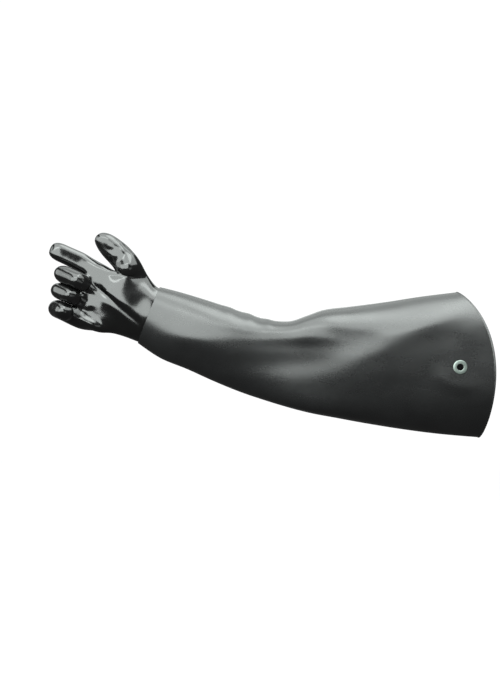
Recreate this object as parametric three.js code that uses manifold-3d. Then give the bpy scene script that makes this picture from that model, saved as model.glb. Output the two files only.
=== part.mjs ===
// A shoulder-length neoprene work glove for the right hand, in the shape that it has when it is worn:
// forefinger out, thumb up, the other fingers curled. The smooth hand is one hollow dipped skin, the
// sleeve is a second one whose wrist end laps over the hand's hem, and a metal eyelet is clamped
// through the sleeve near its mouth. Millimetres, +Z up, origin in the middle of the arm opening.
// +X points out of the opening, and -Y is the palm's side.
import * as THREE from "three";
import { mergeVertices } from "three/addons/utils/BufferGeometryUtils.js";
import Module from "manifold-3d";

const wasm = await Module();
wasm.setup();

// Driving sizes of the sleeve
const WALL = 1.5;
const SLEEVE_REACH = 548; // level distance from the opening's middle to the wrist seam's
const WRIST_RISE = 84; // the wrist seam's middle above the opening's
const MOUTH_HEIGHT = 247;
const MOUTH_DEPTH = 100;
const MOUTH_BOW = 43.5; // how far the palm side's edge runs out past the line between its corners
const FAR_BOW_SHARE = 0.55; // the other wall's edge runs out less
const BEAD_WIDTH = 4;
const BEAD_RISE = 0.8;

// Driving sizes of the wrist and the hand
const WRIST_HEIGHT = 101.4;
const WRIST_DEPTH = 58;
const LAP_LENGTH = 12;
const CLEARANCE = 0.3;
const HAND_TILT = 21.6; // degrees that the hand points above the level
const HAND_LENGTH = 192; // wrist seam to forefinger tip
const HAND_BREADTH = 112;
const HAND_THICKNESS = 36;
const FINGER_BREADTH = 26.6;
const THUMB_BREADTH = 41;

// Driving sizes of the eyelet
const EYELET_BORE = 11;
const EYELET_FLANGE = 24;
const EYELET_BARREL_WALL = 0.8;
const EYELET_FLANGE_THICKNESS = 1.2;
const EYELET_FROM_EDGE = 60;
const EYELET_DROP = 3.4; // below the opening's middle
const SEAT_RADIUS = 28; // the sleeve lies flat this far round the eyelet
const SEAT_FADE = 22;

// How finely the skins are drawn
const SLEEVE_SIDES = 32;
const RING_SPACING = 34;
const SEAT_SPACING = 15;
const GATHER_SPACING = 8.5;
const EYELET_SIDES = 28;

// Sections of the sleeve from the wrist to the opening. along is the share of SLEEVE_REACH that is
// left to the opening, rise the share of WRIST_RISE; height and depth say how far the section has
// grown from the wrist's size (0) to the opening's (1); lean is the section's slope in degrees; edge
// is 1 for an ellipse and grows as the top and bottom get sharper.
const SLEEVE_SECTIONS = [
  { along: 1.0, rise: 1.0, height: 0.0, depth: 0.0, lean: HAND_TILT, edge: 1.0 },
  { along: 0.9335, rise: 0.795, height: 0.102, depth: 0.24, lean: 16.3, edge: 1.0 },
  { along: 0.855, rise: 0.613, height: 0.134, depth: 0.52, lean: 14.6, edge: 1.0 },
  { along: 0.78, rise: 0.42, height: 0.174, depth: 0.76, lean: 11.5, edge: 1.0 },
  { along: 0.705, rise: 0.234, height: 0.204, depth: 0.95, lean: 7.3, edge: 1.0 },
  { along: 0.636, rise: 0.095, height: 0.233, depth: 1.1, lean: 3.6, edge: 1.02 },
  { along: 0.567, rise: 0.01, height: 0.307, depth: 1.19, lean: 0, edge: 1.04 },
  { along: 0.507, rise: 0.01, height: 0.436, depth: 1.24, lean: -2.9, edge: 1.06 },
  { along: 0.443, rise: 0.025, height: 0.561, depth: 1.29, lean: -5.8, edge: 1.08 },
  { along: 0.363, rise: 0.005, height: 0.656, depth: 1.29, lean: -6.4, edge: 1.1 },
  { along: 0.253, rise: -0.01, height: 0.778, depth: 1.24, lean: -6.7, edge: 1.14 },
  { along: 0.141, rise: -0.005, height: 0.901, depth: 1.14, lean: -7.4, edge: 1.18 },
  { along: 0.0215, rise: 0.005, height: 1.0, depth: 1.0, lean: -8.6, edge: 1.2 },
];

// Dents of the sleeve. along is a share of SLEEVE_REACH, up of MOUTH_HEIGHT, length and breadth (the
// distances at which the dent is down to a third) of SLEEVE_REACH and MOUTH_HEIGHT, and deep of
// MOUTH_DEPTH; tilt turns the dent, in degrees; side is -1 on the palm's side and 1 behind.
const DENTS = [
  { along: 0.55, up: -0.01, length: 0.15, breadth: 0.1, deep: 0.115, tilt: -2, side: -1 },
  { along: 0.17, up: -0.1, length: 0.2, breadth: 0.22, deep: 0.06, tilt: 14, side: -1 },
  { along: 0.5, up: 0.04, length: 0.16, breadth: 0.12, deep: 0.08, tilt: 0, side: 1 },
  { along: 0.2, up: 0.05, length: 0.22, breadth: 0.2, deep: 0.05, tilt: -10, side: 1 },
];

// Small gathers over the inside of the elbow, at shares of SLEEVE_REACH, each as wide and as high as
// its shares of SLEEVE_REACH and MOUTH_HEIGHT say.
const GATHERS = [
  { along: 0.754, width: 0.013, rise: 0.006 },
  { along: 0.693, width: 0.015, rise: 0.007 },
  { along: 0.636, width: 0.013, rise: 0.006 },
];

// Sections of the palm from the hem to the ball of the fingers. out is a share of HAND_LENGTH; radial
// and ulnar are the thumb's and the little finger's edges as shares of HAND_BREADTH; back is a share
// of HAND_THICKNESS; pad, hollow and heel are the depths of the ball of the thumb, of the crease and
// of the heel of the hand, also of HAND_THICKNESS, and padAt, hollowAt and heelAt their places across.
const PALM_SECTIONS = [
  { out: 0.13, radial: 0.54, ulnar: -0.442, back: 0.64, pad: 0.98, hollow: 0.76, heel: 0.9 },
  { out: 0.25, radial: 0.47, ulnar: -0.462, back: 0.56, pad: 1.02, hollow: 0.66, heel: 0.9 },
  { out: 0.37, radial: 0.425, ulnar: -0.512, back: 0.52, pad: 0.84, hollow: 0.54, heel: 0.8 },
];
const PALM_PLACES = [
  { padAt: 0.22, hollowAt: -0.11, heelAt: -0.28 },
  { padAt: 0.25, hollowAt: -0.03, heelAt: -0.3 },
  { padAt: 0.28, hollowAt: 0.05, heelAt: -0.32 },
];

// The four fingers, from the forefinger. knuckle and across place the knuckle as shares of HAND_LENGTH
// and HAND_BREADTH; breadth and root, the breadth at the knuckle, are shares of FINGER_BREADTH; first,
// middle and end are the bones' lengths as shares of HAND_LENGTH.
const FINGERS = [
  { knuckle: 0.51, across: 0.342, breadth: 1.16, root: 1, first: 0.238, middle: 0.145, end: 0.145 },
  { knuckle: 0.54, across: 0.078, breadth: 1.06, root: 1, first: 0.34, middle: 0.177, end: 0.145 },
  { knuckle: 0.515, across: -0.168, breadth: 0.98, root: 1, first: 0.332, middle: 0.161, end: 0.125 },
  { knuckle: 0.49, across: -0.435, breadth: 1.06, root: 1.22, first: 0.317, middle: 0.125, end: 0.11 },
];

// How the same fingers are held, in degrees: the bends at the knuckle and the two joints, and the turn
// towards the thumb.
const FINGER_POSES = [
  { bends: [8, 10, 8], splay: 3 },
  { bends: [28, 122, 58], splay: 2.2 },
  { bends: [24, 114, 78], splay: 1.5 },
  { bends: [26, 100, 84], splay: 2.5 },
];
const WEB = 0.105; // knuckle to web, a share of HAND_LENGTH
const FINGER_DEPTH_SHARE = 0.86; // a finger's depth against its breadth

// Rings of the thumb. out and across are shares of HAND_LENGTH and HAND_BREADTH, half is half the
// ring's breadth as a share of THUMB_BREADTH, deep its half depth, drop its distance towards the palm's
// side as a share of HAND_THICKNESS, and heading the way that it faces, in degrees from the hand's axis.
const THUMB_RINGS = [
  { out: 0.3, across: 0.548, half: 0.57, deep: 0.44, drop: 0.16, heading: 52 },
  { out: 0.345, across: 0.603, half: 0.565, deep: 0.4, drop: 0.18, heading: 26 },
  { out: 0.44, across: 0.679, half: 0.57, deep: 0.36, drop: 0.2, heading: 25 },
  { out: 0.543, across: 0.744, half: 0.525, deep: 0.32, drop: 0.22, heading: 24 },
  { out: 0.619, across: 0.799, half: 0.41, deep: 0.27, drop: 0.24, heading: 24 },
  { out: 0.668, across: 0.821, half: 0.24, deep: 0.17, drop: 0.25, heading: 24 },
];
const THUMB_END = { out: 0.685, across: 0.834 };

const RING = 20; // cage points round the palm
const SMOOTH_8 = (2 + Math.SQRT1_2) / 3; // how far smoothing draws an eight-sided ring in
const SMOOTH_20 = (2 + Math.cos(Math.PI / 10)) / 3;


// Across and up, the eight points round a finger: from the thumb's side over the back.
const CORNER = Math.SQRT1_2;
const EIGHT = [
  [CORNER, CORNER],
  [0, 1],
  [-CORNER, CORNER],
  [-1, 0],
  [-CORNER, -CORNER],
  [0, -1],
  [CORNER, -CORNER],
  [1, 0],
];

const radians = THREE.MathUtils.degToRad;
const clamp = THREE.MathUtils.clamp;
const lerp = THREE.MathUtils.lerp;
const smooth = THREE.MathUtils.smoothstep;

// A bump that is 1 at 0 and a third at 1.
function bump(t) {
  return Math.exp(-1.1 * t * t);
}

// A value of a table's column at a place between its rows, on a smooth curve through them.
function onCurve(rows, column, place) {
  const last = rows.length - 1;
  const i = clamp(Math.floor(place), 0, last - 1);
  const t = place - i;
  const at = (k) => rows[clamp(k, 0, last)][column];
  const [a, b, c, d] = [at(i - 1), at(i), at(i + 1), at(i + 2)];
  const tangentB = (c - a) / 2;
  const tangentC = (d - b) / 2;
  const t2 = t * t;
  const t3 = t2 * t;
  return (
    (2 * t3 - 3 * t2 + 1) * b +
    (t3 - 2 * t2 + t) * tangentB +
    (3 * t2 - 2 * t3) * c +
    (t3 - t2) * tangentC
  );
}

// The outer skin of the sleeve

function dentDepth(x, z, side) {
  let sum = 0;
  for (const dent of DENTS) {
    if (dent.side !== side) continue;
    const dx = x + dent.along * SLEEVE_REACH;
    const dz = z - dent.up * MOUTH_HEIGHT;
    const tilt = radians(dent.tilt);
    const a = (dx * Math.cos(tilt) + dz * Math.sin(tilt)) / (dent.length * SLEEVE_REACH);
    const b = (dz * Math.cos(tilt) - dx * Math.sin(tilt)) / (dent.breadth * MOUTH_HEIGHT);
    sum += dent.deep * MOUTH_DEPTH * bump(a) * bump(b);
  }
  return sum;
}

function gatherRise(x, up) {
  let sum = 0;
  for (const gather of GATHERS) {
    const t = (x + gather.along * SLEEVE_REACH) / (gather.width * SLEEVE_REACH);
    sum += gather.rise * MOUTH_HEIGHT * bump(t);
  }
  return sum * smooth(up, 0.55, 1);
}

// A point of the sleeve's outer skin. place runs along SLEEVE_SECTIONS and turn round the sleeve, from
// the top over the palm's side.
function skinPoint(place, turn) {
  const last = SLEEVE_SECTIONS.length - 1;
  const of = (column) => onCurve(SLEEVE_SECTIONS, column, place);
  const up = Math.cos(turn);
  const side = Math.sin(turn) > 0 ? -1 : 1;
  const halfHeight = lerp(WRIST_HEIGHT, MOUTH_HEIGHT, of("height")) / 2;
  const halfDepth = lerp(WRIST_DEPTH, MOUTH_DEPTH, of("depth")) / 2;
  const lean = radians(of("lean"));
  const bulge = Math.pow(Math.abs(Math.sin(turn)), of("edge"));
  const bowShare = side < 0 ? 1 : FAR_BOW_SHARE;
  const bow = MOUTH_BOW * bowShare * Math.pow(1 - up * up, 0.75) * (1 + 0.26 * up);
  const x = -of("along") * SLEEVE_REACH + halfHeight * up * Math.sin(lean);
  const z = of("rise") * WRIST_RISE + halfHeight * up * Math.cos(lean);
  const reached = x + bow * smooth(place, last - 3, last);
  const fromWrist = smooth(place, 0, 2);
  const depth = halfDepth * bulge - fromWrist * bulge * dentDepth(reached, z, side);
  return new THREE.Vector3(reached, side * depth, z + gatherRise(x, up));
}

// Where the eyelet sits: on the palm's side, EYELET_FROM_EDGE in from the sleeve's edge.
const LAST_PLACE = SLEEVE_SECTIONS.length - 1;
const eyeletTurn = Math.acos(-EYELET_DROP / (MOUTH_HEIGHT / 2));
function placeFromEdge(distance) {
  const edge = skinPoint(LAST_PLACE, eyeletTurn);
  let [low, high] = [0, LAST_PLACE];
  for (let i = 0; i < 40; i++) {
    const middle = (low + high) / 2;
    if (edge.distanceTo(skinPoint(middle, eyeletTurn)) > distance) low = middle;
    else high = middle;
  }
  return (low + high) / 2;
}
const eyeletPlace = placeFromEdge(EYELET_FROM_EDGE);
const eyeletSeat = skinPoint(eyeletPlace, eyeletTurn);

// The skin pulled flat round the eyelet, which clamps it.
function sleevePoint(place, turn) {
  const p = skinPoint(place, turn);
  if (Math.sin(turn) > 0) {
    const away = Math.hypot(p.x - eyeletSeat.x, p.z - eyeletSeat.z);
    p.y = lerp(eyeletSeat.y, p.y, smooth(away, SEAT_RADIUS, SEAT_RADIUS + SEAT_FADE));
  }
  return p;
}

// Quad meshes: { points, faces }, with every face's corners in order as seen from outside

function spacingAt(x) {
  const share = -x / SLEEVE_REACH;
  const gathers = GATHERS.map((gather) => gather.along);
  if (share > Math.min(...gathers) - 0.02 && share < Math.max(...gathers) + 0.03) return GATHER_SPACING;
  return Math.abs(x - eyeletSeat.x) < SEAT_RADIUS + SEAT_SPACING ? SEAT_SPACING : RING_SPACING;
}

function sleeveMesh() {
  const places = [];
  for (let place = 0; place < LAST_PLACE; ) {
    places.push(place);
    const here = skinPoint(place, Math.PI / 2);
    const perUnit = here.distanceTo(skinPoint(place + 0.02, Math.PI / 2)) / 0.02;
    place += spacingAt(here.x) / perUnit;
  }
  const beadPlace = placeFromEdge(BEAD_WIDTH);
  while (places.at(-1) > placeFromEdge(BEAD_WIDTH + SEAT_SPACING / 2)) places.pop();
  places.push(beadPlace, LAST_PLACE);
  const mesh = { points: [], faces: [] };
  for (const place of places)
    for (let k = 0; k < SLEEVE_SIDES; k++)
      mesh.points.push(sleevePoint(place, (k / SLEEVE_SIDES) * 2 * Math.PI));
  for (let i = 1; i < places.length; i++)
    joinRings(mesh, ringOf(i - 1, SLEEVE_SIDES), ringOf(i, SLEEVE_SIDES));
  return mesh;
}

function ringOf(i, sides) {
  return Array.from({ length: sides }, (_, k) => i * sides + k);
}

function joinRings(mesh, from, to) {
  from.forEach((a, k) => {
    const next = (k + 1) % from.length;
    mesh.faces.push([a, from[next], to[next], to[k]]);
  });
}

function addRing(mesh, points) {
  const first = mesh.points.length;
  mesh.points.push(...points);
  return points.map((_, k) => first + k);
}

// The cage of the hand, in its own frame: x out along the hand, y towards the thumb, z to its back

const V = new THREE.Vector3(0, 1, 0);
const N = new THREE.Vector3(0, 0, 1);

// A point from a centre by so much across and so much towards the back.
function offset(centre, across, acrossBy, back, backBy) {
  return centre.clone().addScaledVector(across, acrossBy).addScaledVector(back, backBy);
}

// The 20 points of an elliptic ring of the hem, which lies inside the sleeve's lap.
function hemRing(out, inset) {
  const halfBreadth = (WRIST_HEIGHT / 2 - inset) / SMOOTH_20;
  const halfDepth = (WRIST_DEPTH / 2 - inset) / SMOOTH_20;
  return Array.from({ length: RING }, (_, k) => {
    const turn = (k / RING) * 2 * Math.PI;
    return new THREE.Vector3(out, halfBreadth * Math.cos(turn), halfDepth * Math.sin(turn));
  });
}

// A ring of the palm, whose front has the ball of the thumb, the crease and the heel of the hand.
function palmRing(row, places) {
  const middle = ((row.radial + row.ulnar) / 2) * HAND_BREADTH;
  const half = ((row.radial - row.ulnar) / 2) * HAND_BREADTH;
  return Array.from({ length: RING }, (_, k) => {
    const turn = (k / RING) * 2 * Math.PI;
    const across = middle + half * Math.cos(turn);
    const share = across / HAND_BREADTH;
    const padWidth = share > places.padAt ? 0.24 : 0.17;
    const full = Math.sin(turn) < 0 && Math.cos(turn) > 0 ? 0.3 : 0.75;
    const round = Math.pow(Math.abs(Math.sin(turn)), full);
    const front =
      row.hollow +
      (row.pad - row.hollow) * bump((share - places.padAt) / padWidth) +
      (row.heel - row.hollow) * bump((share - places.heelAt) / 0.12);
    const depth = (Math.sin(turn) > 0 ? row.back : -front) * HAND_THICKNESS * round;
    return new THREE.Vector3(row.out * HAND_LENGTH, across, depth);
  });
}

// A finger's bones bent at its joints: the centre and the three directions at a distance from the
// knuckle. At a joint itself the directions are half way round.
function fingerFrame(f, distance) {
  const finger = FINGERS[f];
  const { bends, splay: splayDegrees } = FINGER_POSES[f];
  const lengths = [0, finger.first * HAND_LENGTH, finger.middle * HAND_LENGTH, Infinity];
  const centre = new THREE.Vector3(finger.knuckle * HAND_LENGTH, finger.across * HAND_BREADTH, 0);
  const splay = radians(splayDegrees);
  let bend = 0;
  let left = distance;
  const direction = (angle) =>
    new THREE.Vector3(
      Math.cos(angle) * Math.cos(splay),
      Math.cos(angle) * Math.sin(splay),
      -Math.sin(angle),
    );
  for (let joint = 0; joint < 3; joint++) {
    const turned = radians(bends[joint]);
    const atJoint = joint > 0 && Math.abs(left) < 1e-6;
    if (atJoint) return frameAt(centre, direction(bend + turned / 2), splay);
    bend += turned;
    const step = Math.min(left, lengths[joint + 1]);
    centre.addScaledVector(direction(bend), step);
    left -= step;
    if (left < -1e-6 || step < lengths[joint + 1]) break;
  }
  return frameAt(centre, direction(bend), splay);
}

function frameAt(centre, along, splay) {
  const across = new THREE.Vector3(-Math.sin(splay), Math.cos(splay), 0);
  return { centre, along, across, back: new THREE.Vector3().crossVectors(along, across) };
}

// The eight points of a finger's ring: back corner, back, back corner, outer side, and round the front.
function fingerRing({ centre, across, back }, { half, behind, front }) {
  return EIGHT.map(([side, rise]) => {
    const deep = (rise > 0 ? behind : front) / SMOOTH_8;
    return offset(centre, across, (side * half) / SMOOTH_8, back, rise * deep);
  });
}

// The places along a finger where its cage has a ring: distance, breadth, and depth behind and in
// front, as shares of its half breadth and half depth. A bent joint has three, and the middle one
// reaches into the crease.
function fingerStations(f) {
  const finger = FINGERS[f];
  const [, middleBend, endBend] = FINGER_POSES[f].bends;
  const half = (finger.breadth * FINGER_BREADTH) / 2;
  const depth = half * FINGER_DEPTH_SHARE;
  const first = finger.first * HAND_LENGTH;
  const second = first + finger.middle * HAND_LENGTH;
  const length = second + finger.end * HAND_LENGTH;
  const stations = [];
  const joints = [
    { at: first, turned: radians(middleBend) / 2, swell: 1.03 },
    { at: second, turned: radians(endBend) / 2, swell: 1 },
  ];
  for (const { at, turned, swell } of joints) {
    const reach = depth * Math.max(0.45, 1.03 * Math.tan(turned));
    const crease = depth * Math.max(1, 0.9 * Math.min(1 / Math.cos(turned), 1.5));
    const drawnIn = reach * Math.sin(turned) * SMOOTH_8 - depth * Math.cos(turned);
    const knuckle = 1.5 * depth + 0.5 * drawnIn;
    stations.push({ at: at - reach, half: half * swell, behind: depth, front: depth });
    stations.push({ at, half: half * swell, behind: knuckle, front: crease });
    stations.push({ at: at + reach, half: half * swell, behind: depth, front: depth });
  }
  for (const { back, size } of [{ back: 0.75, size: 0.95 }, { back: 0.15, size: 0.64 }])
    stations.push({ at: length - half * back, half: half * size, behind: depth * size, front: depth * size });
  return { stations, length };
}

// The palm's last two rings go through the fingers' knuckles and webs: neighbours share the points
// between them.
function knuckleRing(distance, behind, inFront, edge) {
  const frames = FINGERS.map((_, f) => fingerFrame(f, distance));
  const halves = FINGERS.map((finger) => (finger.root * FINGER_BREADTH) / 2 / SMOOTH_8);
  const between = (i) => {
    if (i === 0) return frames[0].centre.clone().addScaledVector(frames[0].across, halves[0] * edge);
    if (i === 4) return frames[3].centre.clone().addScaledVector(frames[3].across, -halves[3] * edge);
    return frames[i - 1].centre.clone().lerp(frames[i].centre, 0.5);
  };
  const corner = (i, by) => {
    const [one, other] = [clamp(i - 1, 0, 3), clamp(i, 0, 3)];
    const back = frames[one].back.clone().add(frames[other].back).normalize();
    const inset = { 0: -0.25, 4: 0.25 }[i] ?? 0;
    return offset(between(i), V, inset * halves[other], back, by);
  };
  const backs = [];
  const fronts = [];
  for (let i = 0; i <= 4; i++) {
    backs.push(corner(i, behind * 0.74));
    fronts.push(corner(i, -inFront * 0.74));
    if (i === 4) break;
    backs.push(frames[i].centre.clone().addScaledVector(frames[i].back, behind));
    fronts.push(frames[i].centre.clone().addScaledVector(frames[i].back, -inFront));
  }
  const ring = [between(0), ...backs, between(4), ...fronts.reverse()];
  return { ring, webs: [1, 2, 3].map(between) };
}

function thumbRing(row) {
  const heading = radians(row.heading);
  const towardsIndex = new THREE.Vector3(Math.sin(heading), -Math.cos(heading), 0);
  const centre = new THREE.Vector3(
    row.out * HAND_LENGTH,
    row.across * HAND_BREADTH,
    -row.drop * HAND_THICKNESS,
  );
  const half = row.half * THUMB_BREADTH;
  const deep = row.deep * THUMB_BREADTH;
  return EIGHT.map(([side, rise]) => offset(centre, towardsIndex, -side * half, N, rise * deep));
}

// Closes a ring of eight with four faces round a middle point.
function closeEight(mesh, ring, point) {
  const [centre] = addRing(mesh, [point]);
  for (let k = 0; k < 8; k += 2)
    mesh.faces.push([ring[k], ring[k + 1], ring[(k + 2) % 8], centre]);
}

function handCage() {
  const mesh = { points: [], faces: [] };
  const knuckles = knuckleRing(0, HAND_THICKNESS * 0.56, HAND_THICKNESS * 0.6, 0.98);
  const webs = knuckleRing(WEB * HAND_LENGTH, HAND_THICKNESS * 0.4, HAND_THICKNESS * 0.42, 1.0);
  const rows = [
    hemRing(-LAP_LENGTH, 1.5 * WALL + 3 * CLEARANCE),
    hemRing(0, WALL + 3 * CLEARANCE),
    hemRing(LAP_LENGTH / 2, WALL / 2),
    ...PALM_SECTIONS.map((row, i) => palmRing(row, PALM_PLACES[i])),
    knuckles.ring,
    webs.ring,
  ].map((points) => addRing(mesh, points));
  // Ring points: 0 the thumb's side, 1 to 9 the back, 10 the little finger's side, 11 to 19 the front.
  const thumbRows = [3, 4, 5];
  for (let i = 1; i < rows.length; i++)
    for (let k = 0; k < RING; k++) {
      const next = (k + 1) % RING;
      const inRows = thumbRows.includes(i) && thumbRows.includes(i - 1);
      const inThumb = inRows && (k === 0 || k === RING - 1);
      if (!inThumb) mesh.faces.push([rows[i - 1][k], rows[i - 1][next], rows[i][next], rows[i][k]]);
    }
  const [low, mid, high] = thumbRows.map((i) => rows[i]);
  let ring = [low[1], mid[1], high[1], high[0], high[19], mid[19], low[19], low[0]];
  for (const row of THUMB_RINGS) {
    const next = addRing(mesh, thumbRing(row));
    joinRings(mesh, ring, next);
    ring = next;
  }
  const end = THUMB_RINGS.at(-1);
  const { out, across } = THUMB_END;
  const tip = new THREE.Vector3(out * HAND_LENGTH, across * HAND_BREADTH, -end.drop * HAND_THICKNESS);
  closeEight(mesh, ring, tip);
  const last = rows.at(-1);
  const webPoints = [last[0], ...addRing(mesh, webs.webs), last[10]];
  FINGERS.forEach((_, f) => {
    const back = [1, 2, 3].map((k) => last[2 * f + k]);
    const front = [3, 2, 1].map((k) => last[RING - 2 * f - k]);
    let loop = [...back, webPoints[f + 1], ...front, webPoints[f]];
    const { stations, length } = fingerStations(f);
    for (const station of stations) {
      const next = addRing(mesh, fingerRing(fingerFrame(f, station.at), station));
      joinRings(mesh, loop, next);
      loop = next;
    }
    closeEight(mesh, loop, fingerFrame(f, length).centre);
  });
  return mesh;
}

// Catmull and Clark's smoothing: each face becomes four.
function subdivide({ points, faces }) {
  const sumOf = (list) => list.reduce((sum, p) => sum.add(p), new THREE.Vector3());
  const average = (list) => sumOf(list).divideScalar(list.length);
  const facePoints = faces.map((face) => average(face.map((i) => points[i])));
  const edges = new Map();
  const around = points.map(() => ({ faces: [], edges: [] }));
  faces.forEach((face, f) =>
    face.forEach((a, k) => {
      const b = face[(k + 1) % face.length];
      const key = Math.min(a, b) + "_" + Math.max(a, b);
      if (!edges.has(key)) {
        edges.set(key, { ends: [a, b], faces: [] });
        around[a].edges.push(key);
        around[b].edges.push(key);
      }
      edges.get(key).faces.push(f);
      around[a].faces.push(f);
    }),
  );
  const middle = (edge) => average(edge.ends.map((i) => points[i]));
  const moved = points.map((p, i) => {
    const mine = around[i].edges.map((key) => edges.get(key));
    const open = mine.filter((edge) => edge.faces.length === 1);
    if (open.length) return average([p, p, ...open.map(middle)]);
    const n = mine.length;
    const faceMiddle = average(around[i].faces.map((f) => facePoints[f]));
    const edgeMiddle = average(mine.map(middle));
    return faceMiddle.addScaledVector(edgeMiddle, 2).addScaledVector(p, n - 3).divideScalar(n);
  });
  const made = { points: [...moved, ...facePoints], faces: [] };
  const edgeIndex = new Map();
  for (const [key, edge] of edges) {
    edgeIndex.set(key, made.points.length);
    const ends = edge.ends.map((i) => points[i]);
    const sides = edge.faces.map((f) => facePoints[f]);
    made.points.push(average(edge.faces.length === 1 ? ends : [...ends, ...sides]));
  }
  const indexOf = (a, b) => edgeIndex.get(Math.min(a, b) + "_" + Math.max(a, b));
  faces.forEach((face, f) =>
    face.forEach((a, k) => {
      const before = face[(k + face.length - 1) % face.length];
      const after = face[(k + 1) % face.length];
      made.faces.push([a, indexOf(a, after), points.length + f, indexOf(before, a)]);
    }),
  );
  return made;
}

// Moves each point of a mesh of quads onto the smooth surface that it stands for.
function settle({ points, faces }) {
  const near = points.map(() => new Map());
  const across = points.map(() => new THREE.Vector3());
  faces.forEach((face) =>
    face.forEach((a, k) => {
      for (const b of [face[(k + 1) % 4], face[(k + 3) % 4]])
        near[a].set(b, (near[a].get(b) ?? 0) + 1);
      across[a].add(points[face[(k + 2) % 4]]);
    }),
  );
  const settled = points.map((p, i) => {
    const open = [...near[i]].filter(([, count]) => count === 1).map(([b]) => points[b]);
    if (open.length) return p.clone().multiplyScalar(4).add(open[0]).add(open[1]).divideScalar(6);
    const n = near[i].size;
    const sum = p.clone().multiplyScalar(n * n).add(across[i]);
    for (const b of near[i].keys()) sum.addScaledVector(points[b], 4);
    return sum.divideScalar(n * (n + 5));
  });
  return { points: settled, faces };
}

function pointNormals({ points, faces }) {
  const normals = points.map(() => new THREE.Vector3());
  for (const [a, b, c, d] of faces) {
    const diagonal = points[c].clone().sub(points[a]);
    const other = points[d].clone().sub(points[b]);
    const normal = diagonal.cross(other);
    for (const i of [a, b, c, d]) normals[i].add(normal);
  }
  return normals.map((normal) => normal.normalize());
}

// A skin with open edges made into a wall of an even thickness, inwards. raise lifts the outer skin at
// chosen points.
function thicken(mesh, wall, raise = () => 0) {
  const normals = pointNormals(mesh);
  const count = mesh.points.length;
  const outer = mesh.points.map((p, i) => p.clone().addScaledVector(normals[i], raise(i)));
  const inner = mesh.points.map((p, i) => p.clone().addScaledVector(normals[i], -wall));
  const faces = [...mesh.faces];
  const edges = new Map();
  for (const face of mesh.faces) {
    faces.push(face.map((i) => i + count).reverse());
    face.forEach((a, k) => {
      const b = face[(k + 1) % 4];
      if (!edges.delete(b + "_" + a)) edges.set(a + "_" + b, [a, b]);
    });
  }
  for (const [a, b] of edges.values()) faces.push([b, a, a + count, b + count]);
  return { points: [...outer, ...inner], faces };
}

// Each quad is cut along its shorter diagonal.
function geometryOf({ points, faces }) {
  const index = [];
  for (const [a, b, c, d] of faces) {
    const short = points[a].distanceToSquared(points[c]) <= points[b].distanceToSquared(points[d]);
    index.push(...(short ? [a, b, c, a, c, d] : [a, b, d, b, c, d]));
  }
  return new THREE.BufferGeometry().setFromPoints(points).setIndex(index);
}

// Booleans

function solidOf(geometry) {
  const bare = geometry.clone();
  bare.deleteAttribute("normal");
  bare.deleteAttribute("uv");
  const merged = mergeVertices(bare, 1e-4);
  return new wasm.Manifold(
    new wasm.Mesh({
      numProp: 3,
      vertProperties: merged.attributes.position.array,
      triVerts: new Uint32Array(merged.index.array),
    }),
  );
}

function geometryOfSolid(solid) {
  const { vertProperties, triVerts } = solid.getMesh();
  const geometry = new THREE.BufferGeometry();
  geometry.setAttribute("position", new THREE.BufferAttribute(vertProperties, 3));
  return geometry.setIndex(new THREE.BufferAttribute(triVerts, 1));
}

// Materials and pieces

const handRubber = new THREE.MeshStandardMaterial({ color: 0x17191a, roughness: 0.16, metalness: 0 });
const sleeveRubber = new THREE.MeshStandardMaterial({ color: 0x1b1c1d, roughness: 0.4, metalness: 0 });
const eyeletMetal = new THREE.MeshStandardMaterial({ color: 0xaeb6b0, roughness: 0.35, metalness: 1 });

function named(name, geometry, material) {
  const mesh = new THREE.Mesh(geometry, material);
  mesh.name = name;
  return mesh;
}

function handPiece() {
  const skin = settle(subdivide(handCage()));
  const piece = named("hand", geometryOf(thicken(skin, WALL)), handRubber);
  const tilt = radians(HAND_TILT);
  const out = new THREE.Vector3(-Math.cos(tilt), 0, Math.sin(tilt));
  const thumbwards = new THREE.Vector3(Math.sin(tilt), 0, Math.cos(tilt));
  piece.applyMatrix4(new THREE.Matrix4().makeBasis(out, thumbwards, new THREE.Vector3(0, 1, 0)));
  piece.position.set(-SLEEVE_REACH, 0, WRIST_RISE);
  return piece;
}

function sleevePiece() {
  const skin = sleeveMesh();
  const beadFrom = skin.points.length - 2 * SLEEVE_SIDES;
  const wall = solidOf(geometryOf(thicken(skin, WALL, (i) => (i >= beadFrom ? BEAD_RISE : 0))));
  const hole = EYELET_BORE / 2 + EYELET_BARREL_WALL + CLEARANCE;
  const drill = new THREE.CylinderGeometry(hole, hole, 8 * WALL, EYELET_SIDES);
  drill.translate(eyeletSeat.x, eyeletSeat.y, eyeletSeat.z);
  return named("sleeve", geometryOfSolid(wall.subtract(solidOf(drill))), sleeveRubber);
}

// A barrel through the wall with a flange on each side of it, turned about the Y axis.
function eyeletPiece() {
  const bore = EYELET_BORE / 2;
  const barrel = bore + EYELET_BARREL_WALL;
  const rim = EYELET_FLANGE / 2;
  const front = CLEARANCE;
  const rear = -WALL - CLEARANCE;
  const thick = EYELET_FLANGE_THICKNESS;
  const round = thick / 2;
  const profile = [
    [bore, rear - thick + round],
    [bore + round, rear - thick],
    [rim - 2 * round, rear - thick],
    [rim - round, rear - round],
    [rim - round, rear],
    [barrel, rear],
    [barrel, front],
    [rim, front],
    [rim, front + round],
    [rim - round, front + thick],
    [bore + round, front + thick],
    [bore, front + thick - round],
    [bore, rear - thick + round],
  ].map(([r, y]) => new THREE.Vector2(r, y));
  const geometry = new THREE.LatheGeometry(profile, EYELET_SIDES);
  geometry.rotateX(Math.PI); // its front faces -Y
  const piece = named("eyelet", geometry, eyeletMetal);
  piece.position.copy(eyeletSeat);
  return piece;
}

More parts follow.
